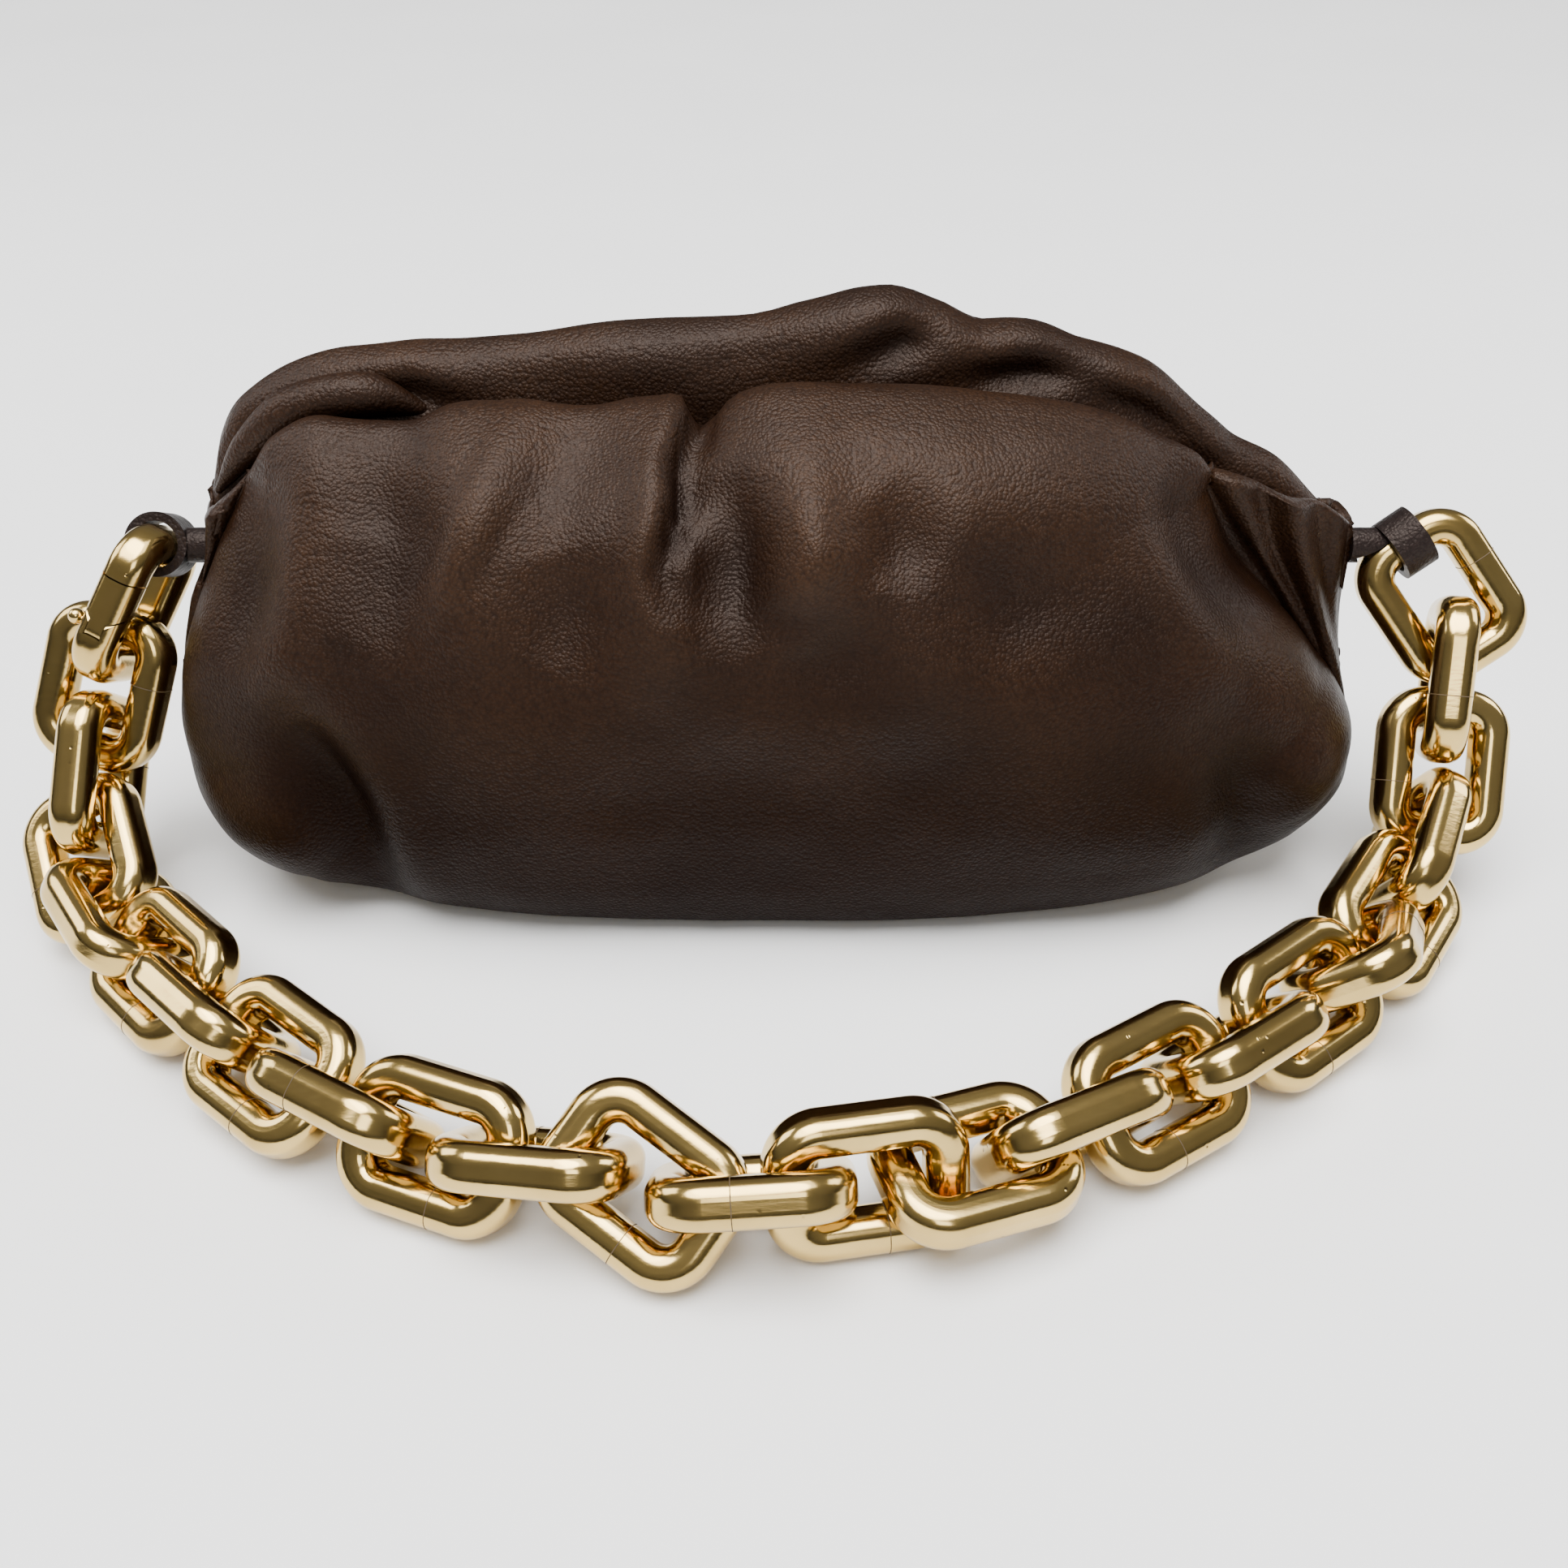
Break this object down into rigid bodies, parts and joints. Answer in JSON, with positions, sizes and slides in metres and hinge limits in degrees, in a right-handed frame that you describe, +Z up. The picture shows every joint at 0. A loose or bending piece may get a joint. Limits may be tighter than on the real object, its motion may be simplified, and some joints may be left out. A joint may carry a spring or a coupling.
{
  "type": "chain shoulder bag",
  "caption": "Soft leather pouch shoulder bag with gathered hinged lips, a magnetic frame, leather end tabs and a chunky metal chain strap.",
  "frame": {"origin": "middle of the flat base, on the surface the bag stands on", "axes": "+X along the bag to its right end, +Y to the back, +Z up"},
  "size_m": [0.4148, 0.2423, 0.149],
  "materials": {
    "leather": "fine pebbled grain, soft sheen",
    "tab": "smooth edge-painted",
    "lining": "fine twill",
    "board": "matte",
    "frame": "plated",
    "magnet": "plated",
    "chain": "polished gold colour"
  },
  "bodies": {
    "bag": {"pouch_shell": "leather", "lining": "lining", "base_board": "board", "hinge_blocks": "frame", "hinge_pins": "frame"},
    "front_jaw": {"front_jaw": "frame", "front_lip": "leather", "front_magnets": "magnet"},
    "back_jaw": {"back_jaw": "frame", "back_lip": "leather", "back_magnets": "magnet"},
    "strap": {"left_tab": "tab", "right_tab": "tab", "link_01": "chain", "gate_pin": "chain", "link_25": "chain"},
    "clasp_gate": {"clasp_gate": "chain"},
    "link_02": {"link_02": "chain"},
    "link_03": {"link_03": "chain"},
    "link_04": {"link_04": "chain"},
    "link_05": {"link_05": "chain"},
    "link_06": {"link_06": "chain"},
    "link_07": {"link_07": "chain"},
    "link_08": {"link_08": "chain"},
    "link_09": {"link_09": "chain"},
    "link_10": {"link_10": "chain"},
    "link_11": {"link_11": "chain"},
    "link_12": {"link_12": "chain"},
    "link_13": {"link_13": "chain"},
    "link_14": {"link_14": "chain"},
    "link_15": {"link_15": "chain"},
    "link_16": {"link_16": "chain"},
    "link_17": {"link_17": "chain"},
    "link_18": {"link_18": "chain"},
    "link_19": {"link_19": "chain"},
    "link_20": {"link_20": "chain"},
    "link_21": {"link_21": "chain"},
    "link_22": {"link_22": "chain"},
    "link_23": {"link_23": "chain"},
    "link_24": {"link_24": "chain"}
  },
  "joints": [
    {"name": "front_jaw_swing", "type": "hinge", "parent": "bag", "child": "front_jaw", "pos_m": [0, 0, 0.092], "axis": [1, 0, 0], "range_deg": [0, 50]},
    {"name": "back_jaw_swing", "type": "hinge", "parent": "bag", "child": "back_jaw", "pos_m": [0, 0, 0.092], "axis": [-1, 0, 0], "range_deg": [0, 50]},
    {"name": "strap_lift", "type": "hinge", "parent": "bag", "child": "strap", "pos_m": [0, 0, 0.092], "axis": [-1, 0, 0], "range_deg": [0, 120]},
    {"name": "gate_swing", "type": "hinge", "parent": "strap", "child": "clasp_gate", "pos_m": [-0.18271, -0.02178, 0.07789], "axis": [-0.8916, 0.2585, 0.3719], "range_deg": [0, 20]},
    {"name": "link_02_roll", "type": "hinge", "parent": "strap", "child": "link_02", "pos_m": [-0.18873, -0.01704, 0.0569], "axis": [-0.2709, -0.3943, -0.8782], "range_deg": [-5, 5]},
    {"name": "link_03_roll", "type": "hinge", "parent": "strap", "child": "link_03", "pos_m": [-0.19022, -0.03028, 0.03625], "axis": [-0.0473, -0.657, -0.7524], "range_deg": [-4, 5]},
    {"name": "link_04_roll", "type": "hinge", "parent": "strap", "child": "link_04", "pos_m": [-0.19013, -0.04984, 0.02193], "axis": [0.3758, -0.8255, -0.421], "range_deg": [-3, 2]},
    {"name": "link_05_roll", "type": "hinge", "parent": "strap", "child": "link_05", "pos_m": [-0.17539, -0.06892, 0.01652], "axis": [0.6072, -0.789, -0.0934], "range_deg": [-5, 5]},
    {"name": "link_06_roll", "type": "hinge", "parent": "strap", "child": "link_06", "pos_m": [-0.15926, -0.08809, 0.01546], "axis": [0.7036, -0.7099, 0.0324], "range_deg": [-5, 5]},
    {"name": "link_07_roll", "type": "hinge", "parent": "strap", "child": "link_07", "pos_m": [-0.14108, -0.10589, 0.01624], "axis": [0.7225, -0.6913, 0.0121], "range_deg": [-5, 5]},
    {"name": "link_08_roll", "type": "hinge", "parent": "strap", "child": "link_08", "pos_m": [-0.12215, -0.12272, 0.01608], "axis": [0.7708, -0.6369, -0.0115], "range_deg": [-5, 5]},
    {"name": "link_09_roll", "type": "hinge", "parent": "strap", "child": "link_09", "pos_m": [-0.10151, -0.13707, 0.0164], "axis": [0.8575, -0.5145, 0.0021], "range_deg": [-5, 5]},
    {"name": "link_10_roll", "type": "hinge", "parent": "strap", "child": "link_10", "pos_m": [-0.07896, -0.14819, 0.01597], "axis": [0.929, -0.3702, 0], "range_deg": [-5, 5]},
    {"name": "link_11_roll", "type": "hinge", "parent": "strap", "child": "link_11", "pos_m": [-0.05497, -0.15502, 0.01803], "axis": [0.9785, -0.1873, 0.0864], "range_deg": [-5, 5]},
    {"name": "link_12_roll", "type": "hinge", "parent": "strap", "child": "link_12", "pos_m": [-0.03111, -0.16103, 0.01799], "axis": [0.8075, -0.4746, -0.3502], "range_deg": [-3, 5]},
    {"name": "link_13_roll", "type": "hinge", "parent": "strap", "child": "link_13", "pos_m": [-0.00701, -0.16283, 0.01771], "axis": [0.998, 0.0363, 0.0509], "range_deg": [-3, 5]},
    {"name": "link_14_roll", "type": "hinge", "parent": "strap", "child": "link_14", "pos_m": [0.01803, -0.1597, 0.01783], "axis": [0.9855, 0.1697, 0.0008], "range_deg": [-4, 4]},
    {"name": "link_15_roll", "type": "hinge", "parent": "strap", "child": "link_15", "pos_m": [0.04265, -0.15435, 0.01705], "axis": [0.9413, 0.3362, -0.0297], "range_deg": [-3, 3]},
    {"name": "link_16_roll", "type": "hinge", "parent": "strap", "child": "link_16", "pos_m": [0.06561, -0.14385, 0.01672], "axis": [0.8952, 0.4457, 0.0001], "range_deg": [-5, 4]},
    {"name": "link_17_roll", "type": "hinge", "parent": "strap", "child": "link_17", "pos_m": [0.08762, -0.13138, 0.01588], "axis": [0.8401, 0.5424, 0.004], "range_deg": [-5, 5]},
    {"name": "link_18_roll", "type": "hinge", "parent": "strap", "child": "link_18", "pos_m": [0.10861, -0.11707, 0.01613], "axis": [0.8121, 0.5834, 0.0083], "range_deg": [-5, 5]},
    {"name": "link_19_roll", "type": "hinge", "parent": "strap", "child": "link_19", "pos_m": [0.12906, -0.10195, 0.01663], "axis": [0.794, 0.6071, 0.0332], "range_deg": [-5, 5]},
    {"name": "link_20_roll", "type": "hinge", "parent": "strap", "child": "link_20", "pos_m": [0.14656, -0.08466, 0.01704], "axis": [0.3771, 0.8749, -0.3038], "range_deg": [-5, 5]},
    {"name": "link_21_roll", "type": "hinge", "parent": "strap", "child": "link_21", "pos_m": [0.16248, -0.06587, 0.0159], "axis": [0.5906, 0.7932, 0.1487], "range_deg": [-5, 4]},
    {"name": "link_22_roll", "type": "hinge", "parent": "strap", "child": "link_22", "pos_m": [0.17362, -0.04434, 0.02162], "axis": [0.4132, 0.8393, 0.3534], "range_deg": [-5, 5]},
    {"name": "link_23_roll", "type": "hinge", "parent": "strap", "child": "link_23", "pos_m": [0.18267, -0.02918, 0.03706], "axis": [0.084, 0.5555, 0.8273], "range_deg": [-3, 5]},
    {"name": "link_24_roll", "type": "hinge", "parent": "strap", "child": "link_24", "pos_m": [0.18385, -0.01628, 0.05884], "axis": [0.0737, 0.4836, 0.8722], "range_deg": [-5, 5]}
  ],
  "couplings": [
    {"joint": "back_jaw_swing", "follows": "front_jaw_swing", "ratio": 1}
  ]
}
